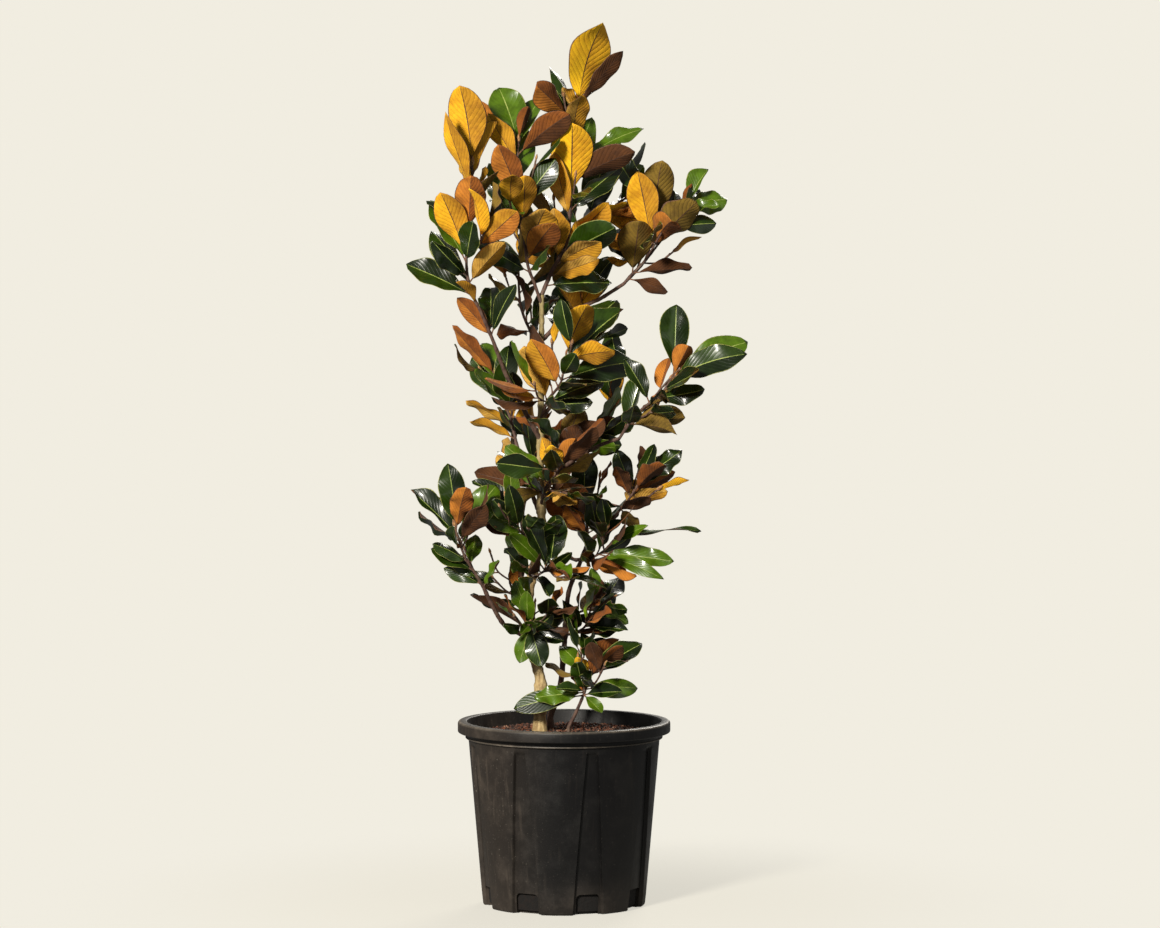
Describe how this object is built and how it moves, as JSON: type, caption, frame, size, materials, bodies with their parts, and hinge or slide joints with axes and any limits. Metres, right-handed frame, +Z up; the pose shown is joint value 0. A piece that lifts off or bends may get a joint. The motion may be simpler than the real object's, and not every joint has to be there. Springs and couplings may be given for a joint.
{
  "type": "potted magnolia tree",
  "caption": "Young evergreen magnolia tree with upright leafy shoots, rusty leaf undersides and bare lower stems, in a black panelled nursery pot.",
  "frame": {"origin": "middle of the flat underside of the pot", "axes": "+Z up; -Y towards the front, the side that the picture shows; +X to the right as seen from the front"},
  "size_m": [0.4434, 0.3229, 1.159],
  "materials": {
    "black_plastic": "dull moulded black plastic, scuffed and dusty",
    "bark_mulch": "rough reddish brown composted bark",
    "old_bark": "smooth tan bark with lenticels, knots and leaf scars",
    "young_bark": "matt purple-brown bark",
    "leaf": "glossy dark green upper side",
    "leaf_underside": "felted golden to rusty brown underside"
  },
  "bodies": {
    "root": {"pot": "black_plastic", "soil": "bark_mulch", "trunk": "old_bark", "stem_rear": "young_bark", "stem_low": "young_bark", "bough_left_low": "young_bark", "bough_left_middle": "young_bark", "bough_left_high": "young_bark", "bough_right_high": "young_bark", "bough_right_middle": "young_bark", "bough_right_low": "young_bark", "bough_back_low": "young_bark", "bough_back_middle": "young_bark", "leader": "leaf", "tuft_left_inner": "leaf", "tuft_left_high": "leaf", "tuft_left_middle": "leaf", "tuft_left_low": "leaf", "tuft_trunk_low": "leaf", "tuft_trunk_middle": "leaf", "tuft_front": "leaf", "tuft_front_high": "leaf", "tuft_right_high": "leaf", "tuft_right_far": "leaf", "tuft_right_middle": "leaf", "tuft_rear_top": "leaf", "tuft_right_low": "leaf", "tuft_rear_right": "leaf", "tuft_rear_middle": "leaf", "tuft_left_front": "leaf", "tuft_back_top": "leaf", "tuft_rear_low": "leaf", "tuft_low": "leaf", "tuft_back_low": "leaf", "tuft_back_middle": "leaf", "tuft_back_high": "leaf", "tuft_back_right": "leaf", "tuft_back_foot": "leaf"}
  },
  "joints": []
}
